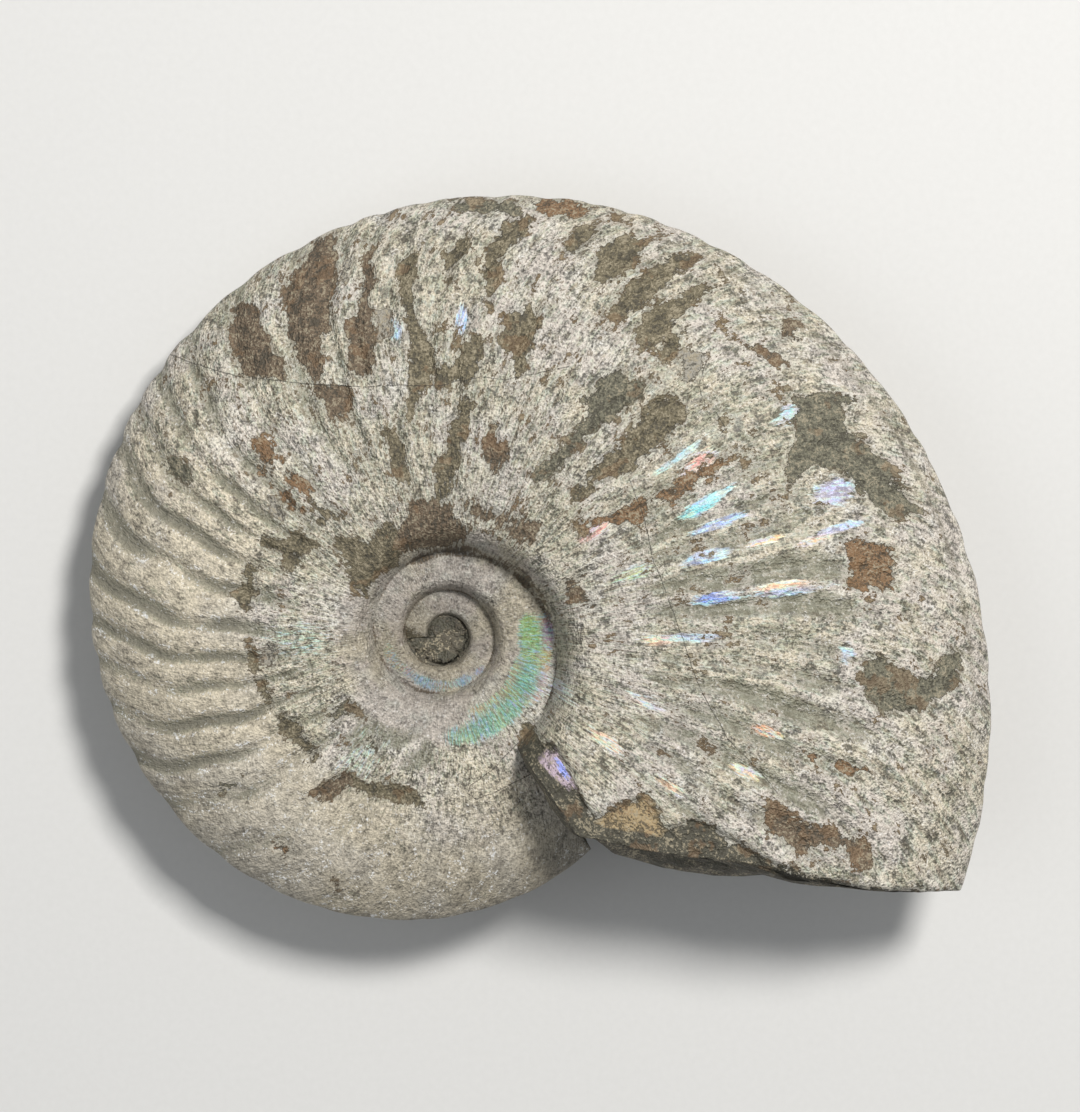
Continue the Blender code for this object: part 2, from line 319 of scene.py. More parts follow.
onEndFrom = -100                     # turn angle of the last stretch of shell, which carries these marks
endMarks = dict(
    # where the upper shell layer is gone beside the break, with a scrap of nacre that carries a painted blue
    # glint, and an ochre scar on it
    bare=[(515, 736), (556, 745), (568, 764), (578, 792), (590, 812), (600, 816), (650, 793), (665, 829),
          (692, 820), (716, 828), (730, 838), (760, 856), (800, 873), (850, 885), (890, 890), (970, 894),
          (970, 940), (560, 900), (480, 770)],
    endNacre=[(536, 758), (556, 748), (564, 758), (576, 788), (566, 788), (550, 774)],
    endPaintedGlint=[(556, 758), (562, 762), (568, 770), (566, 778), (559, 772)],
    ochre=[(598, 818), (650, 794), (664, 829), (658, 836), (600, 826)],
)

# Cracks, and the edge of a lifted scrap of shell, as chains of pixels
cracks = [
    [(165, 352), (200, 366), (240, 377), (280, 381), (320, 385), (360, 387), (440, 385), (485, 377),
     (505, 380), (565, 367)],
    [(630, 480), (645, 520), (652, 557), (667, 595), (686, 650), (700, 688), (728, 740), (755, 765),
     (775, 790)],
    [(718, 415), (727, 428), (722, 433)],
    [(520, 742), (497, 765), (470, 786), (466, 794), (476, 800), (503, 789), (527, 775)],
    [(705, 365), (698, 385), (704, 402)],
]

# How quickly the painted glints fade from their middles, and the tone of those in the umbilicus
paintedGlintFade = dict(flank=1.3, umbilicus=1.2, umbilicusTone=0.7)

# Nacre that catches the light, as painted highlights and play of colour: its pixel, length along the rib and
# width across it in pixels, colour, strength
paintedGlints = [
    (700, 507, 26, 7, (.20, .75, .85), 1.), (722, 492, 16, 4, (.30, .75, .90), .9),
    (718, 524, 34, 6, (.30, .45, .95), .9), (706, 557, 26, 7, (.35, .50, 1.), 1.),
    (722, 553, 7, 4, (.45, .90, .75), .9), (714, 598, 22, 7, (.25, .38, 1.), 1.),
    (695, 637, 36, 5, (.50, .62, .95), .8), (790, 592, 50, 5, (.55, .62, .90), .7),
    (835, 492, 28, 18, (.60, .58, .90), .8), (840, 528, 34, 5, (.55, .60, .95), .8),
    (792, 414, 22, 12, (.60, .68, .85), .7), (847, 655, 10, 12, (.55, .65, .85), .7),
    (765, 541, 24, 4, (1., .50, .20), .9), (812, 541, 22, 4, (1., .58, .28), .8),
    (785, 585, 36, 5, (1., .52, .28), .9), (657, 641, 20, 6, (1., .55, .35), .8),
    (766, 731, 20, 7, (1., .48, .28), .9), (745, 772, 22, 7, (1., .62, .36), .8),
    (607, 742, 26, 8, (1., .60, .45), .9), (670, 786, 22, 8, (1., .62, .40), .7),
    (595, 531, 24, 7, (1., .35, .35), .9), (700, 463, 24, 12, (1., .45, .40), .8),
    (635, 573, 30, 8, (.62, .68, .25), .7), (682, 455, 40, 4, (.40, .70, .80), .8),
    (462, 320, 17, 6, (.35, .50, 1.), 1.), (396, 330, 14, 8, (.50, .62, .90), .8),
    (640, 700, 30, 10, (.80, .60, .55), .6), (560, 690, 30, 20, (.75, .60, .55), .4),
    (300, 640, 60, 30, (.50, .58, .50), .35), (360, 760, 50, 30, (.48, .58, .42), .35),
]

# Nacre in the umbilicus, as painted highlights and play of colour: angle, distance from the coil's middle,
# length along the turn and width across it in mm, colour, strength
umbilicusPaintedGlints = [
    (8, 13.2, 1.6, 1.4, (.58, .72, .18), .9), (3, 13.4, 1.2, 1.5, (.20, .62, .16), 1.),
    (-3, 13.2, 1.2, 1.6, (.55, .80, .12), 1.), (-8, 13.6, 1.2, 1.6, (.12, .55, .22), 1.),
    (-14, 13.8, 1.2, 1.6, (.70, .82, .14), 1.), (-20, 14.0, 1.3, 1.8, (.10, .50, .28), 1.),
    (-27, 14.2, 1.4, 1.9, (.20, .60, .40), 1.), (-34, 14.6, 1.3, 1.9, (.12, .46, .36), 1.),
    (-41, 14.8, 1.3, 1.9, (.62, .70, .22), .9), (-48, 15.2, 1.6, 1.9, (.16, .52, .38), 1.),
    (-56, 15.4, 1.5, 1.9, (.42, .62, .30), .9), (-64, 15.6, 1.6, 1.8, (.22, .56, .44), 1.),
    (-73, 15.8, 1.8, 1.8, (.36, .62, .40), .9), (-84, 15.8, 1.8, 1.8, (.48, .62, .44), .7),
    (10, 15.9, 1.0, 1.0, (1., .50, .40), .9), (5, 16.0, 1.0, .9, (.70, .25, .70), 1.),
    (0, 16.1, 1.0, .9, (.48, .28, .80), 1.), (-5, 16.1, 1.0, .9, (.85, .40, .55), .9),
    (-11, 16.2, 1.0, .9, (1., .70, .20), .9), (-17, 16.3, 1.0, .9, (1., .48, .18), .9),
    (-25, 16.6, 1.2, .8, (.80, .42, .62), .8), (-34, 17.2, 1.3, .8, (1., .50, .48), .7),
    (-24, 12.3, 1.4, .7, (1., .66, .36), .8), (-34, 12.5, 1.4, .7, (.98, .58, .42), .8),
    (-50, 12.7, 1.6, .8, (1., .62, .42), .8), (-66, 12.7, 1.8, .8, (1., .60, .38), .9),
    (202, 8.8, 2.0, .9, (1., .60, .46), .9), (222, 8.1, 1.3, .8, (1., .52, .55), .8),
    (247, 7.9, 2.2, 1.0, (.62, .72, 1.), .8), (268, 7.9, 1.5, .8, (1., .64, .52), .9),
    (292, 7.7, 1.8, .9, (.60, .62, 1.), .8), (316, 7.8, 1.0, .6, (.88, .5, .8), .8),
]


class Grid:
    # nodes of every surface, with the fields that they carry, and the faces between them
    def __init__(self):
        self.points = []
        self.fields = []
        self.alias = []
        self.faces = []
        self.count = 0

    def add(self, points, **fields):
        # new nodes for an array of points, as an array of their numbers
        shape = points.shape[:-1]
        size = int(np.prod(shape))
        names = ("angle", "place", "side", "rock")
        values = [np.broadcast_to(np.asarray(fields.get(name, 0.0), float), shape) for name in names]
        self.points.append(points.reshape(-1, 3))
        self.fields.append(np.stack([value.reshape(-1) for value in values], -1))
        nodes = np.arange(self.count, self.count + size)
        self.alias.append(nodes.copy())
        self.count += size
        return nodes.reshape(shape)

    def weld(self, nodes, others):
        # nodes stand where others do, and share their vertices
        alias = np.concatenate(self.alias)
        alias[np.asarray(nodes).ravel()] = alias[np.asarray(others).ravel()]
        self.alias = [alias]

    def sheet(self, nodes):
        # quads of a grid of nodes
        corners = [nodes[:-1, :-1], nodes[:-1, 1:], nodes[1:, 1:], nodes[1:, :-1]]
        self.faces.append(np.stack(corners, -1).reshape(-1, 4))

    def bridge(self, first, second):
        # triangles between two rows of any counts, each segment reaching to the other row's nearest node
        m, n = len(first), len(second)
        apex = np.floor((np.arange(n - 1) + 0.5) / (n - 1) * (m - 1) + 0.5).astype(int)
        self.faces.append(self.three(second[1:], second[:-1], first[apex]))
        turn = np.searchsorted(apex, np.arange(1, m))
        self.faces.append(self.three(first[:-1], first[1:], second[turn]))

    def three(self, a, b, c):
        # triangles kept as quads whose last corner is -1
        return np.stack([a, b, c, np.full(len(a), -1)], -1)


view = dict(
    centre=(0.01483, 0.0122),        # where the camera looks, from the coil axis in the shell's own plane
    distance=0.62,
    frameHeight=0.1718,              # how much of the mid-plane the picture's height takes in
)


def settle():
    # turns the shell's own frame, with its coil axis along +Z, to the way that it lies
    towards = np.radians(form["leanTowards"])
    across = Vector((-np.sin(towards), np.cos(towards), 0))
    return Matrix.Translation(form["axisPoint"]) @ Matrix.Rotation(np.radians(form["lean"]), 4, across)


def seenAt(plan, height):
    # where the eye sees a point of that height on the mid-plane, which perspective pushes outwards
    centre = np.array(view["centre"])
    return centre + (plan - centre) / (1 - height / view["distance"])[..., None]


def columnAngles():
    # even steps along the whorl's middle: the log of a straight run between two powers of the growth
    start, end = form["breakAngles"][0] - 360, form["breakAngles"][0]
    rate = 0.7 * np.log(form["turnGrowth"]) / 360
    share = np.linspace(0, 1, meshSize["columns"] + 1)
    return np.log(np.exp(rate * start) * (1 - share) + np.exp(rate * end) * share) / rate


def flankPlaces(rows):
    # places from the edge of cover to the venter, in even steps of length along the section
    start = seamPlace(form["breakAngles"][0]) * form["turnGrowth"]
    turn = np.linspace(np.arcsin((start - form["thickestAt"]) / (1 - form["thickestAt"])), np.pi / 2, 400)
    place = form["thickestAt"] + (1 - form["thickestAt"]) * np.sin(turn)
    length = np.concatenate(([0], np.cumsum(np.hypot(np.diff(place), np.diff(flankHeight(place))))))
    return np.interp(np.linspace(0, length[-1], rows + 1), length, place)[1:]


def innerPlaces(angle, wallRows, shoulderRows):
    # places from the seam to the edge of cover at each angle, crowded at the foot of the wall
    wall = form["wallWidth"] * np.linspace(0, 1, wallRows + 1) ** 1.6
    foot = seamPlace(angle)
    cover = seamPlace(angle + 360) * form["turnGrowth"]
    share = np.linspace(0, 1, shoulderRows + 1)[1:, None]
    onWall = foot + wall[:, None]
    return np.concatenate((onWall, onWall[-1] * (1 - share) + cover * share))


def readingOf(angle, plan):
    # the anticlockwise angle and place at which the eye reads a seen point near a turn angle
    seen = -np.degrees(np.arctan2(plan[..., 1], plan[..., 0]))
    seen = angle + (seen - angle + 180) % 360 - 180
    return -seen, np.hypot(plan[..., 0], plan[..., 1]) / radiusAt(seen)


relief = dict(
    ribsFrom=(0.28, 0.34),           # place where the ribs start, and the width over which they rise
    venterFade=(0.55, 12),           # how much lower they are at the venter, and by which power of the place
    faintFurrow=0.35,                # depth of the faintest furrow, as a share of the deepest
    patchFloor=0.65,                 # and of the ribs where they are worn
    patchMiddle=0.75,
    swellFrom=(0.24, 0.1),           # place where the gentle waves start, and the width
    chip=(0.30 * mm, 1.4 * mm),      # depth of a chip, and the width of its step
    bare=(1.1 * mm, 0.8 * mm),       # the same beside the break
)


def boldness(angle):
    # from 0, on the side where the ribs are faintest, to 1
    return 0.5 + 0.5 * np.cos(np.radians(angle - ribs["boldestAngle"]))


def reliefOf(angle, place, plan, height, side):
    # metres outwards along the section's normal: furrows and gentle waves, all inwards
    seen = seenAt(plan, height) if side > 0 else plan
    reading, seenPlace = readingOf(angle, seen)
    inFurrow, strength = ribField(-reading, seenPlace)
    lower, power = relief["venterFade"]
    bold = ribs["faintest"] + (1 - ribs["faintest"]) * boldness(angle)
    fade = beyond(place, *relief["ribsFrom"]) * (1 - lower * place ** power) * bold
    fade = fade * (angle > form["plainInside"])
    floor, faint = relief["patchFloor"], relief["faintFurrow"]
    patchy = floor + (1 - floor) * smooth(relief["patchMiddle"] + uneven("ribPatches", seen))
    ribDepth = ribs["height"] * mm * radiusAt(angle) / ribs["heightAt"] * fade * patchy
    ribDepth = ribDepth * (faint + (1 - faint) * strength)
    swell = (uneven("swell", seen) - unevenness["swell"][0]) * beyond(place, *relief["swellFrom"])
    return swell - ribDepth * inFurrow


def surface(angle, place, side):
    # points of a flank in the shell's own frame: (reach cos, -reach sin, height), moved by the relief
    step = 0.002
    slope = (flankHeight(place) - flankHeight(place - step)) / step
    size = np.hypot(slope, 1)
    atVenter = place > 0.999
    outwards = np.where(atVenter, 1.0, -slope / size)
    upwards = np.where(atVenter, 0.0, 1 / size)
    radius = radiusAt(angle)
    height = radius * sectionHeight(angle, place)
    turn = np.radians(angle)
    plan = np.stack([radius * place * np.cos(turn), -radius * place * np.sin(turn)], -1)
    flatPlan, flatHeight, flatAngle = plan.reshape(-1, 2), height.ravel(), angle.ravel()
    moved = reliefOf(flatAngle, place.ravel(), flatPlan, flatHeight, side)
    if side > 0:
        moved = moved - chipDepth(seenAt(flatPlan, flatHeight), flatAngle)
    moved = moved.reshape(angle.shape)
    reach = radius * place + moved * outwards
    return np.stack([reach * np.cos(turn), -reach * np.sin(turn), side * (height + moved * upwards)], -1)


def chipField(seen):
    # signed distance into the nearest chip in metres, roughened, and that chip's colour
    best = np.full(len(seen), -1.0)
    colour = np.tile(chipColours["olive"], (len(seen), 1))
    for name, outlines in chips.items():
        for outline in outlines:
            near = insideBy(seen, fromPicture(outline))
            colour[near > best] = chipColours[name]
            best = np.maximum(best, near)
    colour[best < -smallChipsBeyond] = chipColours["olive"]
    return best + uneven("chipEdge", seen), colour


def brokenField(seen, angle):
    # signed distance into the strip beside the break where the upper shell layer is gone
    field = insideBy(seen, fromPicture(endMarks["bare"])) + uneven("bareEdge", seen)
    return np.where(angle > onEndFrom, field, -1.0)


def chipDepth(seen, angle):
    # a ledge at each chip, and a deeper one beside the break
    chip, _ = chipField(seen)
    depth, width = relief["chip"]
    ledge = depth * smooth(chip / width + 0.5)
    depth, width = relief["bare"]
    broken = (depth + uneven("bareDepth", seen)) * smooth(brokenField(seen, angle) / width + 0.5)
    return np.maximum(ledge, broken)


def along(points, shares):
    # points at shares of a chain's length
    length = np.concatenate(([0], np.cumsum(np.linalg.norm(np.diff(points, axis=0), axis=1))))
    return np.stack([np.interp(shares * length[-1], length, points[:, k]) for k in range(3)], -1)


def buildFossil():
    # both flanks of every turn, the broken end and the two plugs, as one closed surface
    grid = Grid()
    last = columnAngles()
    inner = last[::3]
    perTurn = len(inner) - 1
    skipped = int(np.argmin(np.abs(inner - 720 - form["firstAngle"])))
    early = np.concatenate((inner[skipped:-1] - 720, inner - 360))
    sides = {}
    venter = None
    for side, rowCounts in ((1, "upperRows"), (-1, "lowerRows")):
        wall, shoulder, rows = meshSize[rowCounts]
        cover = wall + shoulder
        # the turns inside the last one, bare from the seam to the edge of cover
        place = innerPlaces(early, wall, shoulder)
        angle = np.broadcast_to(early, place.shape)
        a = grid.add(surface(angle, place, side), angle=angle, place=place, side=side)
        grid.weld(a[0, perTurn:], a[cover, :len(early) - perTurn])
        grid.sheet(a)
        # the last turn, whose columns run from the turn below to the break
        base = last if side > 0 else last[::2]
        flank = flankPlaces(rows)
        place = np.concatenate((innerPlaces(base, wall, shoulder), np.repeat(flank[:, None], len(base), 1)))
        end = np.interp(place, form["breakPlaces"], form["breakAngles"])
        share = (base - base[0]) / (base[-1] - base[0])
        angle = base[0] + share * (end - base[0])
        points = surface(angle, place, side)
        points[-1, :, 2] = 0
        b = grid.add(points, angle=angle, place=place, side=side)
        grid.weld(b[:cover + 1, 0], a[:, -1])
        row = b[0, np.linspace(0, len(base) - 1, perTurn + 1).round().astype(int)]
        grid.weld(row, a[cover, -perTurn - 1:])
        grid.bridge(row, b[1])
        if side > 0:
            grid.sheet(b[1:])
            venter = b[-1]
        else:
            grid.sheet(b[1:-1])
            grid.weld(b[-1], venter[::2])
            grid.bridge(b[-2], venter)
        sides[side] = (a, b, cover)
    brokenEnd(grid, sides, venter)
    for side in sides:
        plug(grid, sides[side][0], perTurn, side)
    return grid


roughRock = dict(
    endFacing=8,                     # degrees forward of the break at the venter that its lumps point
    endLumps=(1.3 * mm, 2.6 * mm),   # how far out they stand, and the most
    endFade=(0.6, 0.5),              # powers of the sines that bring them to nothing at the edges
    plugMiddle=1.5 * mm,             # height of the plug over the mid-plane, in its middle and around it
    plugLevel=1.45 * mm,
)


def brokenEnd(grid, sides, venter):
    # a ruled face from the broken edge to the section of the turn below, with lumps along its normal
    (_, upper, coverUp), (_, lower, coverLow) = sides[1], sides[-1]
    outer = np.concatenate((upper[:, -1], lower[-2::-1, -1]))
    inner = np.concatenate((upper[coverUp:, 0], lower[-2:coverLow - 1:-1, 0]))
    points = np.concatenate(grid.points)
    outerPoints, innerPoints = points[outer], points[inner]
    facing = np.radians(form["breakAngles"][-1] + roughRock["endFacing"])
    stands, most = roughRock["endLumps"]
    down, across = roughRock["endFade"]
    forward = np.array([-np.sin(facing), -np.cos(facing), 0])
    before = outer
    rows = meshSize["endRows"]
    for row in range(1, rows):
        share = row / rows
        count = round(len(outer) + (len(inner) - len(outer)) * share)
        places = np.linspace(0, 1, count)
        line = along(outerPoints, places) * (1 - share) + along(innerPoints, places) * share
        full = np.sin(np.pi * share) ** down * np.sin(np.pi * places) ** across
        lumps = np.clip(stands + uneven("endLumps", line) + uneven("endGrain", line), 0, most)
        line = line + forward * (lumps * full)[:, None]
        nodes = grid.add(line, rock=1.0)
        grid.weld(nodes[[0, -1]], outer[[0, -1]])
        grid.bridge(before, nodes)
        before = nodes
    last = grid.add(innerPoints, rock=1.0)
    grid.weld(last, inner)
    grid.bridge(before, last)


def plug(grid, coil, perTurn, side):
    # rings of rough rock that close in on the middle from the innermost seam
    loop = np.concatenate((coil[0, :perTurn], coil[:0:-1, 0]))
    points = np.concatenate(grid.points)[loop]
    closed = np.concatenate((points, points[:1]))
    middle = points.mean(0)
    middle[2] = side * roughRock["plugMiddle"]
    before = grid.add(closed, rock=1.0)
    grid.weld(before, np.concatenate((loop, loop[:1])))
    for share, count in meshSize["plugRings"]:
        places = np.linspace(0, 1, count + 1)
        ring = along(closed, places) * (1 - share) + middle * share
        level = roughRock["plugLevel"] + uneven("plugLumps", ring[:, :2]) + uneven("plugGrain", ring[:, :2])
        ring[:, 2] = side * level
        nodes = grid.add(ring, rock=1.0)
        grid.weld(nodes[-1:], nodes[:1])
        grid.bridge(before, nodes)
        before = nodes
    tip = grid.add(middle[None], rock=1.0)
    grid.faces.append(grid.three(before[:-1], before[1:], np.repeat(tip, len(before) - 1)))


def toMesh(grid, name):
    # vertices that faces use, with the fields of their nodes kept on the face corners
    points = np.concatenate(grid.points)
    fields = np.concatenate(grid.fields)
    alias = np.concatenate(grid.alias)
    while (alias[alias] != alias).any():
        alias = alias[alias]
    faces = np.concatenate(grid.faces)
    quads = faces[faces[:, 3] >= 0]
    triangles = faces[faces[:, 3] < 0][:, :3]
    first, second, third = alias[triangles].T
    triangles = triangles[(first != second) & (second != third) & (third != first)]
    cornerNodes = np.concatenate((quads.ravel(), triangles.ravel()))
    used, numbered = np.unique(alias[cornerNodes], return_inverse=True)
    place = np.array(settle())
    settled = points[used] @ place[:3, :3].T + place[:3, 3]
    lo, hi = np.array(cadBox)
    settled = np.clip(settled, np.maximum(lo, [-1, -1, 0]), hi)
    squares = numbered[:quads.size].reshape(-1, 4).tolist()
    mesh = bpy.data.meshes.new(name)
    mesh.from_pydata(settled, [], squares + numbered[quads.size:].reshape(-1, 3).tolist())
    mesh.shade_smooth()
    return mesh, cornerNodes, points, fields


crackReach = dict(side=1.5, near=1.4)       # mm within which a crack is drawn


def crackField(seen):
    # which side of the nearest crack a point is on, in mm, and how near it is, from 1 to 0
    near = np.full(len(seen), 1e9)
    side = np.zeros(len(seen))
    for chain in cracks:
        path = fromPicture(chain)
        for a, b in zip(path, path[1:]):
            edge = b - a
            share = np.clip((seen - a) @ edge / (edge @ edge), 0, 1)
            away = seen - a - share[:, None] * edge
            distance = np.linalg.norm(away, axis=1)
            turn = (edge[0] * away[:, 1] - edge[1] * away[:, 0]) / np.linalg.norm(edge)
            closer = distance < near
            near = np.where(closer, distance, near)
            side = np.where(closer, turn, side)
    side = np.clip(side / mm, -crackReach["side"], crackReach["side"])
    return side, smooth(1 - near / (crackReach["near"] * mm))


def paintedGlintField(seen):
    # the colour and strength of all painted glints at each point: sums of Gaussian spots along the ribs, and
    # along the turn in the umbilicus
    total = np.zeros((len(seen), 3))
    weights = np.zeros(len(seen))
    distance = np.linalg.norm(seen, axis=1) / mm
    direction = np.degrees(np.arctan2(seen[:, 1], seen[:, 0]))
    for across, down, length, width, colour, strength in paintedGlints:
        centre = fromPicture([(across, down)])[0]
        away = (seen - centre) / picture["pixel"]
        outwards = centre / np.linalg.norm(centre)
        lengthwise = away @ outwards / length
        crosswise = away @ np.array([-outwards[1], outwards[0]]) / width
        weight = strength * np.exp(-paintedGlintFade["flank"] * (lengthwise ** 2 + crosswise ** 2))
        total += weight[:, None] * np.array(colour)
        weights += weight
    for angle, reach, length, width, colour, strength in umbilicusPaintedGlints:
        lengthwise = np.radians(angleApart(direction, angle)) * reach / length
        crosswise = (distance - reach) / width
        weight = strength * np.exp(-paintedGlintFade["umbilicus"] * (lengthwise ** 2 + crosswise ** 2))
        total += weight[:, None] * np.array(colour) * paintedGlintFade["umbilicusTone"]
        weights += weight
    return total / np.maximum(weights, 1e-6)[:, None], np.minimum(weights, 1)


tones = dict(
    # where the flank changes its tone. A zone has a strength, the reading in its middle with a reach
    # and a fade in degrees, and the place in its middle with a reach and a fade
    worn=[(0.55, 90, 75, 30, 1.0, 0.75, 0.10), (0.35, 5, 60, 30, 0.42, 0.224, 0.14),
          (1.0, 105, 70, 20, 0.28, 0.06, 0.04)],
    green=[(0.75, 238, 34, 16, 0.41, 0.10, 0.07)],
    greyFurrows=[(1.4, -5, 55, 30, 0.0, 0.85, 0.20)],
    # painted shade over the right and upper part of the flank
    upperPaintedShade=[(0.42, 25, 115, 40, 0.5, 9.0, 1.0)],
    rim=[(1.0, 30, 60, 30, 0.5, 9.0, 1.0)],
    # the rest start at a reading, a place or a distance, and are full a width further on
    warmFrom=(120, 60), warmPlace=(0.5, 0.12),
    lessWarm=0.6, lessWarmFrom=(240, 25), lessWarmPlace=(0.66, 0.2),
    furrowPlace=(0.3, 0.2),
    # painted shade: darker towards the rim all round, most on the left and bottom, on the lower outer flank,
    # and in the umbilicus
    paintedShadeFrom=(150, 60), paintedShadePlace=(0.70, 0.26), leastPaintedShade=0.5, morePaintedShade=0.4, morePaintedShadeFrom=(250, 30),
    lowPaintedShade=0.75, lowPaintedShadeFrom=(235, 25), lowPaintedShadePlace=(0.55, 0.2),
    umbilicusPaintedShade=0.6, umbilicusPaintedShadeTo=(14.5, 2.0),     # mm from the coil axis
    umbilicusCalm=0.8, umbilicusCalmTo=(16.0, 1.5),
    rimPlace=(0.966, 0.005),
    seamDirtAndShadow=(0.75, 0.05, -62, 62, 25),     # mm of dark line, dirt and painted shadow, at the last turn's seam, less, angle, reach, fade
    coilStart=(14, 0.05),                   # degrees from the coil's start that are bare, and mm for each
)


def zoneField(reading, place, zones):
    # the strongest zone at each point: each is 1 in its middle and falls to 0 over its fades
    field = np.zeros(len(reading))
    for strength, direction, reach, fade, middle, span, edge in zones:
        near = smooth((reach - angleApart(reading, direction)) / fade)
        field = np.maximum(field, strength * near * smooth((span - np.abs(place - middle)) / edge))
    return field


def seamDirtAndShadowAt(angle):
    # mm of dark line beside the last turn's seam: dirt all along it, which widens into a painted shadow
    # along its upper right
    most, less, middle, reach, fade = tones["seamDirtAndShadow"]
    return most * smooth((reach - np.abs(angle - middle)) / fade) - less


def chipMarks(angle, plan, seen, side, rock):
    # signed distance in metres into bare rock, and its colour, from the drawn chips and the broken end
    chip, colour = chipField(seen)
    onTop = side > 0
    chip = np.where(onTop, chip, uneven("lowerChips", plan) - 0.9 * unevenness["lowerChips"][0])
    broken = np.where(onTop, brokenField(seen, angle), -1.0)
    colour[(broken > chip) | (rock > 0)] = chipColours["endRock"]
    chip = np.maximum(chip, broken)
    onEnd = onTop & (angle > onEndFrom)
    # the scrap of nacre, its painted blue glint, and the ochre scar
    for name in ("endNacre", "endPaintedGlint", "ochre"):
        mark = insideBy(seen, fromPicture(endMarks[name]))
        colour[(mark > 0) & onEnd] = chipColours[name]
        chip = np.where(onEnd, np.maximum(chip, mark), chip)
    colour[(rock > 0) & (angle < form["plainInside"])] = chipColours["olive"]
    bare, perDegree = tones["coilStart"]
    return np.maximum(chip, (bare - angle + form["firstAngle"]) * perDegree * mm), colour


def seamDistance(angle, place, rock):
    # mm from the nearer seam, beyond its dark line of dirt and painted shadow: the turn below's cover, or
    # the turn's own foot
    reach = radiusAt(angle) / mm
    covered = (seamPlace(angle + 360) * form["turnGrowth"] - place) * reach - seamDirtAndShadowAt(angle + 360)
    covered = np.where(angle < form["breakAngles"][0] - 360, covered, 3)
    ownFoot = (place - seamPlace(angle)) * reach - seamDirtAndShadowAt(angle)
    return np.clip(np.minimum(covered, ownFoot) + rock * 3, 0, 3)


def shellFields(points, fields):
    # everything that the material reads, at each node
    angle, place, side, rock = fields.T
    onTop = side > 0
    ribbed = angle > form["plainInside"]
    plan = points[:, :2]
    seen = np.where((onTop | (rock > 0))[:, None], seenAt(plan, np.abs(points[:, 2])), plan)
    fromAxis = np.linalg.norm(seen, axis=1) / mm
    reading, seenPlace = readingOf(angle, seen)
    chip, chipColour = chipMarks(angle, plan, seen, side, rock)
    # furrows, their grey stain, and the green lace
    inFurrow, strength = ribField(-reading, seenPlace)
    bold = boldness(angle)
    patchy = smooth(relief["patchMiddle"] + uneven("ribPatches", seen))
    furrow = inFurrow ** (0.3 + 0.7 * bold) * strength * patchy
    furrow = furrow * beyond(seenPlace, *tones["furrowPlace"]) * ribbed
    band = furrow * np.maximum(zoneField(reading, seenPlace, tones["greyFurrows"]), bold ** 2)
    green = zoneField(reading, seenPlace, tones["green"]) * smooth(0.6 + uneven("greenPatches", seen))
    band = np.maximum(band, green * ribbed)
    # the warm smooth part, the worn parts, and painted shade: darker towards the rim all round, most on the
    # left and bottom, over the right and upper flank, on the lower outer flank and in the umbilicus
    warm = beyond(reading, *tones["warmFrom"]) * beyond(seenPlace, *tones["warmPlace"])
    lessWarm = beyond(reading, *tones["lessWarmFrom"]) * (1 - beyond(seenPlace, *tones["lessWarmPlace"]))
    warm = warm * (1 - tones["lessWarm"] * lessWarm)
    worn = zoneField(reading, seenPlace, tones["worn"])
    worn = np.maximum(worn, smooth(1.1 + chip / (1.6 * mm))) * ribbed
    dusk = np.maximum(warm * beyond(reading, *tones["paintedShadeFrom"]), tones["leastPaintedShade"])
    dusk = dusk + tones["morePaintedShade"] * beyond(reading, *tones["morePaintedShadeFrom"])
    dusk = dusk * beyond(seenPlace, *tones["paintedShadePlace"])
    dusk = np.maximum(dusk, zoneField(reading, seenPlace, tones["upperPaintedShade"]))
    lowPaintedShade = beyond(reading, *tones["lowPaintedShadeFrom"]) * beyond(seenPlace, *tones["lowPaintedShadePlace"])
    dusk = np.maximum(dusk, tones["lowPaintedShade"] * lowPaintedShade)
    # painted shade in the umbilicus
    umbilicus = onTop * (1 - beyond(fromAxis, *tones["umbilicusPaintedShadeTo"]))
    dusk = np.maximum(dusk, tones["umbilicusPaintedShade"] * umbilicus)
    umbilicus = onTop * (1 - beyond(fromAxis, *tones["umbilicusCalmTo"]))
    calm = np.maximum(warm, tones["umbilicusCalm"] * umbilicus)
    middle, width = tones["rimPlace"]
    rim = np.exp(-((seenPlace - middle) / width) ** 2) * zoneField(reading, seenPlace, tones["rim"]) * onTop
    crackSide, crackNear = crackField(seen)
    glintColour, glintShare = paintedGlintField(seen)
    return dict(
        chip=np.clip(chip / mm, -4, 4), chipColour=chipColour, furrow=furrow, band=band,
        crackSide=crackSide, crackNear=crackNear * onTop, glintColour=glintColour,
        glintShare=glintShare * onTop, warm=warm, seam=seamDistance(angle, place, rock), worn=worn,
        rock=rock, dusk=dusk, calm=calm, rim=rim,
        shellMap=np.stack([(angle - ribLean(np.minimum(place, 1))) / 10, place * 10], -1))


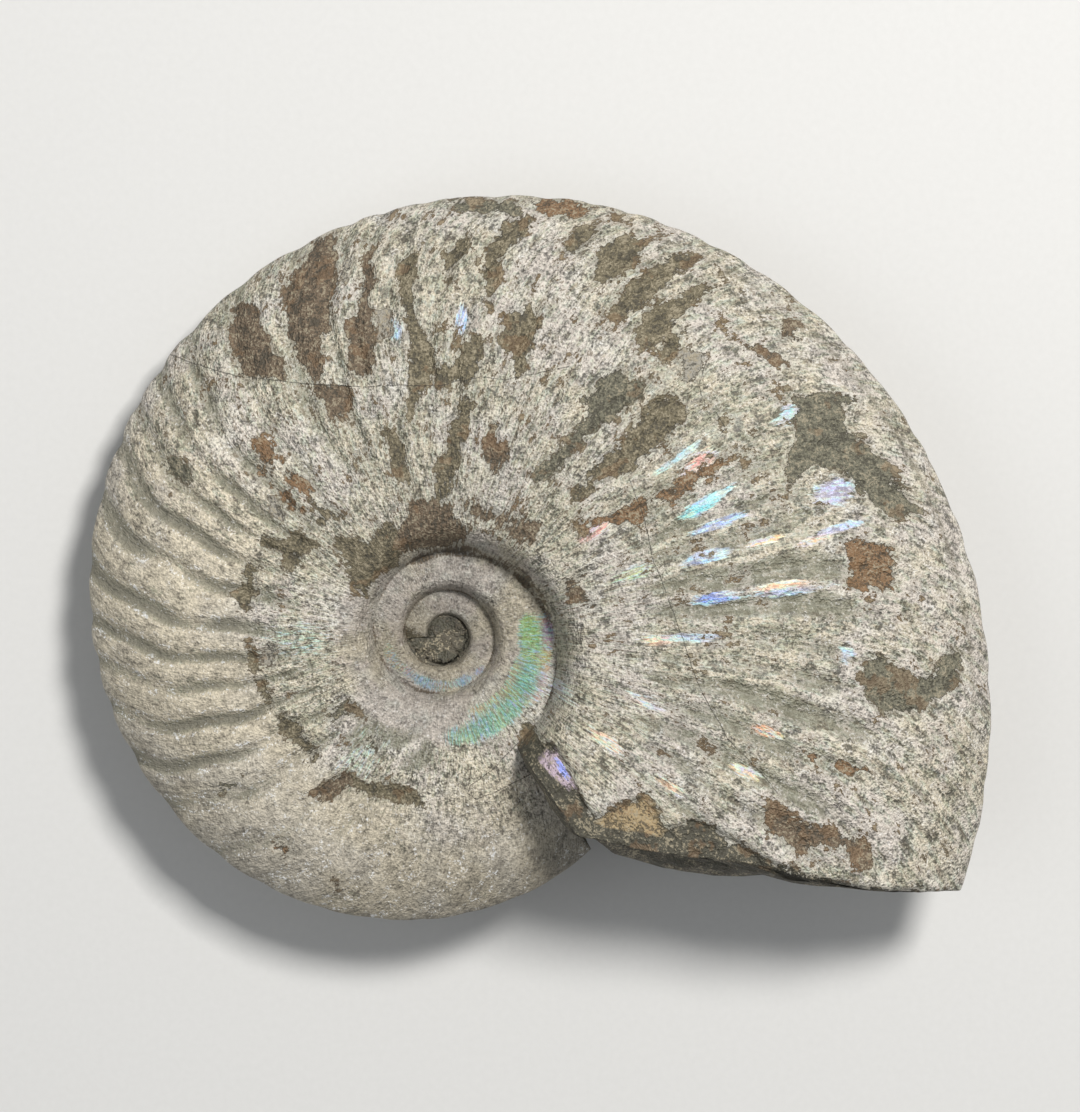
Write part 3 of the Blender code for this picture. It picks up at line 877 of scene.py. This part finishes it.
class Wire:
    # a socket's output: arithmetic on it adds Math nodes
    def __init__(self, bench, socket):
        self.bench = bench
        self.socket = socket

    def maths(self, operation, a, b=0.0):
        return self.bench.node("ShaderNodeMath", {"operation": operation}, {0: a, 1: b})

    def __add__(self, other):
        return self.maths("ADD", self, other)

    __radd__ = __add__

    def __sub__(self, other):
        return self.maths("SUBTRACT", self, other)

    def __rsub__(self, other):
        return self.maths("SUBTRACT", other, self)

    def __mul__(self, other):
        return self.maths("MULTIPLY", self, other)

    __rmul__ = __mul__

    def __truediv__(self, other):
        return self.maths("DIVIDE", self, other)

    def __pow__(self, other):
        return self.maths("POWER", self, other)

    def __neg__(self):
        return self.maths("MULTIPLY", self, -1.0)

    def size(self):
        return self.maths("ABSOLUTE", self)

    def largest(self, other):
        return self.maths("MAXIMUM", self, other)

    def within(self, low, high):
        return self.bench.node("ShaderNodeClamp", {}, {0: self, 1: low, 2: high})

    def above(self, low, high):
        # 0 up to low, 1 from high, smooth between
        settings = {"interpolation_type": "SMOOTHSTEP"}
        return self.bench.node("ShaderNodeMapRange", settings, {0: self, 1: low, 2: high})


class Bench:
    # a material's nodes
    def __init__(self, name):
        self.material = bpy.data.materials.new(name)
        self.material.use_nodes = True
        self.tree = self.material.node_tree
        self.tree.nodes.clear()

    def node(self, kind, settings=None, inputs=None, output=0):
        made = self.tree.nodes.new(kind)
        for key, value in (settings or {}).items():
            if key == "stops":
                self.setStops(made.color_ramp, value)
            else:
                setattr(made, key, value)
        for key, value in (inputs or {}).items():
            if isinstance(value, Wire):
                self.tree.links.new(value.socket, made.inputs[key])
            else:
                made.inputs[key].default_value = value
        return Wire(self, made.outputs[output] if made.outputs else None)

    def setStops(self, ramp, stops):
        while len(ramp.elements) < len(stops):
            ramp.elements.new(0.5)
        for element, (position, colour) in zip(ramp.elements, stops):
            element.position = position
            element.color = (*colour, 1)

    def field(self, name, output=2):
        # a value, or with output 0 a colour, that the mesh carries
        return self.node("ShaderNodeAttribute", {"attribute_name": name}, {}, output)

    def mix(self, share, a, b, blend="MIX"):
        a, b = [(*c, 1) if isinstance(c, tuple) else c for c in (a, b)]
        settings = {"data_type": "RGBA", "blend_type": blend}
        return self.node("ShaderNodeMix", settings, {0: share, 6: a, 7: b}, 2)

    def ramp(self, stops, value):
        return self.node("ShaderNodeValToRGB", {"stops": stops}, {0: value})

    def noise(self, where, scale, detail=3.0, roughness=0.55, flat=False):
        return self.node("ShaderNodeTexNoise", {"noise_dimensions": "2D" if flat else "3D"},
                         {"Vector": where, "Scale": scale, "Detail": detail, "Roughness": roughness})

    def stretched(self, where, scale):
        return self.node("ShaderNodeMapping", {}, {"Vector": where, "Scale": scale})


finish = dict(
    # linear colours of the shell: its chalky crust, the nacre layer under it, what stains them, and the
    # colours of its painted glints, sparkle, shade and shadow
    warmCrust=(0.515, 0.458, 0.352), paleCrust=(0.515, 0.490, 0.430), pinkCrust=(0.525, 0.450, 0.400),
    nacre=(0.325, 0.305, 0.240), paleNacre=(0.435, 0.420, 0.365), gap=(0.150, 0.132, 0.090),
    furrow=(0.150, 0.140, 0.108), band=(0.190, 0.184, 0.132), fleckAndSparkle=(0.860, 0.880, 0.900),
    paintedGlintWhite=(0.800, 0.800, 0.740), speck=(0.120, 0.084, 0.045), sootAndShadow=(0.030, 0.027, 0.021),
    rockDark=(0.050, 0.045, 0.032), rockLight=(0.330, 0.285, 0.200), rockRust=(0.230, 0.130, 0.060),
    pearl=((0.0, (1.0, .42, .42)), (.2, (1.0, .66, .34)), (.36, (.55, .85, .35)), (.52, (.25, .80, .70)),
           (.72, (.30, .45, 1.0)), (1.0, (.80, .40, .85))),
)

patterns = dict(
    # noises of the whole shell: waves per metre, octaves, roughness
    broad=(70, 2, 0.60), middle=(240, 3, 0.66), rugged=(420, 3, 1.00), grain=(2400, 2, 0.70),
)

ribPatterns = dict(
    # noises drawn out along the ribs: stretch round the coil and out from it, waves, octaves, roughness
    lace=((5.6, 2.8, 1), 1.0, 4, 0.78), streak=((3.0, 0.7, 1), 2.4, 3, 0.80),
    streakFine=((6.5, 0.9, 1), 3.0, 2, 0.70), growth=((34, 0.5, 1), 3.2, 2, 0.60),
)


def overShell(bench):
    # everything that varies over the shell: the noises, and the fields that the mesh carries
    where = bench.node("ShaderNodeTexCoord", output=3)
    shellMap = bench.node("ShaderNodeUVMap", {"uv_map": "shellMap"})
    on = SimpleNamespace()
    for name, pattern in patterns.items():
        setattr(on, name, bench.noise(where, *pattern))
    for name, (stretch, *pattern) in ribPatterns.items():
        setattr(on, name, bench.noise(bench.stretched(shellMap, stretch), *pattern, flat=True))
    for name in ("chip", "furrow", "band", "crackSide", "crackNear", "glintShare", "warm", "seam", "worn",
                 "rock", "dusk", "calm", "rim"):
        setattr(on, name, bench.field(name))
    on.chipColour = bench.field("chipColour", 0)
    on.glintColour = bench.field("glintColour", 0)
    return on


def crustAndNacre(bench, on, crust, laid, hue):
    # crust over grey-green nacre, shaded by the fine patterns, with gaps, stained furrows and the rim,
    # painted shade towards the rim and in the umbilicus, and painted shade in the furrows of the warm ribs
    paler = (on.streak * 0.6 + on.broad * 0.4).above(.44, .56)
    nacre = bench.mix(paler, finish["nacre"], finish["paleNacre"])
    nacre = bench.mix(0.09, nacre, hue, "OVERLAY")
    base = bench.mix(laid, nacre, crust)
    shade = (on.rugged - 0.5) * (4.4 - on.calm * 2.2) + (on.streak - 0.5) * (1.2 - on.calm * 0.7)
    shade = shade + (on.lace - 0.5) * 0.8 + (on.streakFine - 0.5) * (1.4 - on.calm * 0.7)
    shade = shade + (on.grain - 0.5) * (3.0 - on.calm * 2.0)
    # painted shade darkens the colour towards the rim, over the upper right and in the umbilicus
    shade = (0.99 + shade).within(0.30, 1.45) * (1 - on.dusk * 0.32)
    base = bench.mix(1.0, base, shade, "MULTIPLY")
    gap = on.lace * 0.75 + on.streakFine * 0.25 + on.broad * 0.20 + on.rugged * 0.2
    gap = gap + on.calm * 0.08 - on.band * 0.11 - on.worn * 0.035
    base = bench.mix((1 - gap.above(.515, .570)) * 0.75, base, finish["gap"])
    stained = (on.band * 0.25 + on.lace * 0.4 + on.streakFine * 0.3 + on.rugged * 0.3).above(.55, .62)
    base = bench.mix(stained * on.band.above(.05, .4) * 0.70, base, finish["band"])
    base = bench.mix(on.rim * on.lace.above(.38, .46) * 0.6, base, finish["gap"])
    # painted shade in the furrows of the warm ribs
    paintedFurrowShade = (on.furrow + (on.lace - 0.5) * 0.5 + (on.rugged - 0.5) * 0.8).above(.40, .80) * on.warm
    return bench.mix(paintedFurrowShade * 0.75, base, finish["furrow"])


def paintedGlintsOver(bench, on, base, paintedGlint, hue):
    # nacre that catches the light, as painted highlights and play of colour, in streaks along the ribs, and
    # in fine stripes in the umbilicus
    hued = (on.streak * 0.6 + on.streakFine * 0.4).above(.47, .56) * 0.6
    colour = bench.mix(hued, on.glintColour, hue)
    stripe = bench.ramp(finish["pearl"], on.growth * 2.2 + on.streak * 0.4 - 0.85)
    colour = bench.mix(on.calm * 0.75, colour, stripe, "MULTIPLY")
    colour = bench.mix(on.streakFine.above(.52, .60) * (1 - on.calm) * 0.30, colour, finish["paintedGlintWhite"])
    colour = bench.mix((1 - on.streak.above(.42, .48)) * 0.55, colour, finish["gap"])
    return bench.mix(paintedGlint * 0.80, base, colour)


def chipsOver(bench, on, base, crust, chip, bare):
    # bare rock with a dark edge and whole crust along it, and specks that are denser round the chips
    whole = bench.mix(on.grain.above(.4, .6), crust, finish["paleCrust"])
    base = bench.mix(chip.above(-1.1, -0.35) * (1 - on.warm * 0.6) * 0.45, base, whole)
    speck = (on.lace * 0.6 + on.rugged * 0.7 + on.middle * 0.3 + on.worn * 0.045).above(.915, .930)
    stain = bench.mix(on.middle.above(.45, .6), finish["speck"], finish["gap"])
    base = bench.mix(speck * (0.35 + on.worn * 0.5), base, stain)
    lit = (on.lace * 0.5 + on.rugged * 0.6 + on.grain * 0.6).above(.910, .950)
    stone = bench.mix(lit * 0.70, on.chipColour, finish["rockLight"])
    pitted = 1 - (on.lace * 0.5 + on.rugged * 0.6 + on.grain * 0.4).above(.695, .735)
    stone = bench.mix(pitted * 0.75, stone, finish["rockDark"])
    rusty = (on.middle * 0.7 + on.broad * 0.4).above(.60, .64) * 0.30
    stone = bench.mix(rusty, stone, finish["rockRust"])
    base = bench.mix(bare, base, stone)
    edge = chip.above(-0.22, -0.05) * (1 - chip.above(0.05, 0.30))
    edgeColour = bench.mix(on.middle.above(.42, .56), finish["rockDark"], finish["speck"])
    return bench.mix(edge * 0.75, base, edgeColour)


def cracksDirtAndShadow(bench, on, base):
    # cracks, the dark line in the seam between the turns, which is dirt with painted shadow along the upper
    # right, and the rough rock of the broken end and the plugs
    offLine = (on.crackSide + (on.middle - 0.5) * 0.9).size()
    crack = (1 - offLine.above(.02, .12)) * on.crackNear.above(.3, .6) * on.streak.above(.35, .45)
    base = bench.mix(crack * 0.8, base, finish["sootAndShadow"])
    # the seam's dark line: dirt, widened into painted shadow along the last turn's upper right
    seam = 1 - (on.seam - (on.lace - 0.5) * 1.3 - (on.middle - 0.5) * 1.2).above(0.0, 0.14)
    dirtAndShadowColour = bench.mix(on.lace.above(.4, .6), finish["sootAndShadow"], finish["speck"])
    base = bench.mix(seam * 0.85, base, dirtAndShadowColour)
    pale = (on.middle * 0.4 + on.rugged * 0.9).above(.62, .68)
    loose = bench.mix(pale, on.chipColour, finish["rockLight"])
    loose = bench.mix((on.rugged + on.grain * 0.3).above(.63, .68) * 0.8, loose, finish["sootAndShadow"])
    return bench.mix(on.rock, base, loose)


def pearlyShell():
    # chalky pearly shell, with bare rock where it has flaked off, and painted glints, sparkle, shade and
    # shadow. Each .above(low, high) is where a sum of patterns starts to show and where it is full
    bench = Bench("pearlyShell")
    on = overShell(bench)
    hue = bench.ramp(finish["pearl"], on.streak * 1.4 + on.middle * 0.8 + on.lace * 0.6 - 0.95)
    crust = bench.mix(on.broad.above(.42, .60), finish["warmCrust"], finish["paleCrust"])
    pink = (on.middle * 0.5 + on.broad * 0.5).above(.48, .55) * (0.5 - on.warm * 0.3)
    crust = bench.mix(pink, crust, finish["pinkCrust"])
    crust = bench.mix(on.warm * 0.6, crust, finish["warmCrust"])
    laid = on.lace * 0.62 + on.streak * 0.33 + on.broad * 0.25
    laid = (laid + on.calm * 0.11 - on.band * 0.06 - on.worn * 0.02).above(.520, .625)
    base = crustAndNacre(bench, on, crust, laid, hue)
    # painted glints: highlights and play of colour of the nacre, where the glint fields say
    paintedGlint = on.glintShare * 0.60 + on.streakFine * 0.6 + on.streak * 0.3 + on.rugged * 0.2
    paintedGlint = paintedGlint.above(.70, .86) * on.glintShare.above(.03, .25)
    base = paintedGlintsOver(bench, on, base, paintedGlint, hue)
    # white flecks, most of them along the flanks of the warm ribs: crumbs, and painted sparkle where the
    # flanks catch the light
    ribFlankSparkle = on.furrow.above(.02, .12) * (1 - on.furrow.above(.25, .6)) * on.warm
    fleckAndSparkle = (on.grain * 0.50 + on.lace * 0.50 + ribFlankSparkle * 0.03 - on.warm * 0.015).above(.575, .605)
    base = bench.mix(fleckAndSparkle * (0.30 + ribFlankSparkle * 0.3), base, finish["fleckAndSparkle"])
    # the drawn chips, with edges that the patterns break up, and small ones of the patterns' own
    chip = on.chip + (on.lace - 0.5) * 3.6 + (on.middle - 0.5) * 5.0 + (on.rugged - 0.5) * 1.6
    small = on.middle * 0.55 + on.lace * 0.45 + on.rugged * 0.18 + on.worn * 0.055 - on.calm * 0.12
    chip = chip.largest((small - 0.710) * 9.0)
    bare = chip.above(-0.03, 0.03)
    base = chipsOver(bench, on, base, crust, chip, bare)
    base = cracksDirtAndShadow(bench, on, base)
    # height of the surface in mm, and gloss where nacre shows
    covered = (1 - bare) * (1 - on.rock)
    rough = on.rugged * (1.1 - on.warm * 0.5) + on.lace * 0.30 + on.streak * 0.30
    bump = {"Strength": 1.0, "Distance": mm, "Height": covered * 0.30 + rough}
    gloss = covered * (paintedGlint * 0.22 + (1 - laid) * 0.12 + fleckAndSparkle * 0.12)
    shader = bench.node("ShaderNodeBsdfPrincipled", {}, {
        "Base Color": base, "Roughness": 0.68 - gloss,
        "Coat Weight": covered * (paintedGlint * 0.3 + (1 - laid) * 0.12), "Coat Roughness": 0.32,
        "Specular IOR Level": 0.45, "Normal": bench.node("ShaderNodeBump", {}, bump)})
    bench.node("ShaderNodeOutputMaterial", {}, {"Surface": shader})
    return bench.material


def outwards(mesh):
    # every face turned to point out of the closed shape
    work = bmesh.new()
    work.from_mesh(mesh)
    bmesh.ops.recalc_face_normals(work, faces=work.faces[:])
    openEdges = sum(not edge.is_manifold for edge in work.edges)
    print("open edges", openEdges, "volume cm3", work.calc_volume() * 1e6)
    work.to_mesh(mesh)
    work.free()


def fossil():
    mesh, cornerNodes, points, fields = toMesh(buildFossil(), "ammoniteShell")
    for name, value in shellFields(points, fields).items():
        atCorners = value[cornerNodes]
        if name == "shellMap":
            mesh.uv_layers.new(name=name).data.foreach_set("uv", atCorners.ravel())
        elif value.ndim == 2:
            withAlpha = np.hstack((atCorners, np.ones((len(atCorners), 1))))
            mesh.attributes.new(name, "FLOAT_COLOR", "CORNER").data.foreach_set("color", withAlpha.ravel())
        else:
            mesh.attributes.new(name, "FLOAT", "CORNER").data.foreach_set("value", atCorners)
    piece = bpy.data.objects.new("ammoniteShell", mesh)
    bpy.context.scene.collection.objects.link(piece)
    outwards(mesh)
    mesh.materials.append(pearlyShell())
    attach(piece, "root")
    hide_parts("ammonite")
    triangles = sum(len(face.vertices) - 2 for face in mesh.polygons)
    print("fossil:", len(mesh.vertices), "vertices,", triangles, "triangles")


studio = dict(
    floorHalf=1.2,
    floorColours=((0.60, 0.595, 0.58), (0.64, 0.635, 0.62)),
    floorGrain=(900, 3),             # waves per metre, octaves
    lampTarget=(0, 0, 0.015),
    # name, place, size, power, colour
    lamps=[("key", (0.29, 0.42, 0.80), 0.20, 10.3, (1.0, 0.985, 0.96)),
           ("fill", (-0.7, -0.2, 0.7), 0.9, 2.2, (0.95, 0.98, 1.0))],
    surroundColour=(0.9, 0.93, 0.97, 1),
    surroundStrength=0.26,
    lensWidth=36,                    # mm of the camera's sensor
    clip=(0.01, 20),
)


def paleFloor():
    # a plain pale square that the fossil lies on
    half = studio["floorHalf"]
    corners = [(-half, -half, 0), (half, -half, 0), (half, half, 0), (-half, half, 0)]
    mesh = bpy.data.meshes.new("floor")
    mesh.from_pydata(corners, [], [(0, 1, 2, 3)])
    bench = Bench("palePaper")
    where = bench.node("ShaderNodeTexCoord", output=3)
    tone = bench.mix(bench.noise(where, *studio["floorGrain"]), *studio["floorColours"])
    shader = bench.node("ShaderNodeBsdfPrincipled", {}, {"Base Color": tone, "Roughness": 0.85})
    bench.node("ShaderNodeOutputMaterial", {}, {"Surface": shader})
    mesh.materials.append(bench.material)
    floor = bpy.data.objects.new("floor", mesh)
    bpy.context.scene.collection.objects.link(floor)


def light():
    target = Vector(studio["lampTarget"])
    for name, where, size, power, colour in studio["lamps"]:
        lamp = bpy.data.lights.new(name, "AREA")
        lamp.size = size
        lamp.energy = power
        lamp.color = colour
        thing = bpy.data.objects.new(name, lamp)
        thing.location = where
        thing.rotation_euler = (target - Vector(where)).to_track_quat("-Z", "Y").to_euler()
        bpy.context.scene.collection.objects.link(thing)
    world = bpy.data.worlds.new("studio")
    world.use_nodes = True
    background = world.node_tree.nodes["Background"]
    background.inputs["Color"].default_value = studio["surroundColour"]
    background.inputs["Strength"].default_value = studio["surroundStrength"]
    bpy.context.scene.world = world
    bpy.context.scene.view_settings.view_transform = "Standard"


def camera():
    # looks straight down the coil axis, with the shell's own +Y up
    data = bpy.data.cameras.new("camera")
    data.sensor_width = studio["lensWidth"]
    data.lens = data.sensor_width * view["distance"] / view["frameHeight"]
    data.clip_start, data.clip_end = studio["clip"]
    thing = bpy.data.objects.new("camera", data)
    thing.matrix_world = settle() @ Matrix.Translation((*view["centre"], view["distance"]))
    bpy.context.scene.collection.objects.link(thing)
    bpy.context.scene.camera = thing


camera()
fossil()
print("fossil made")
paleFloor()
light()
print("floor and lights made")
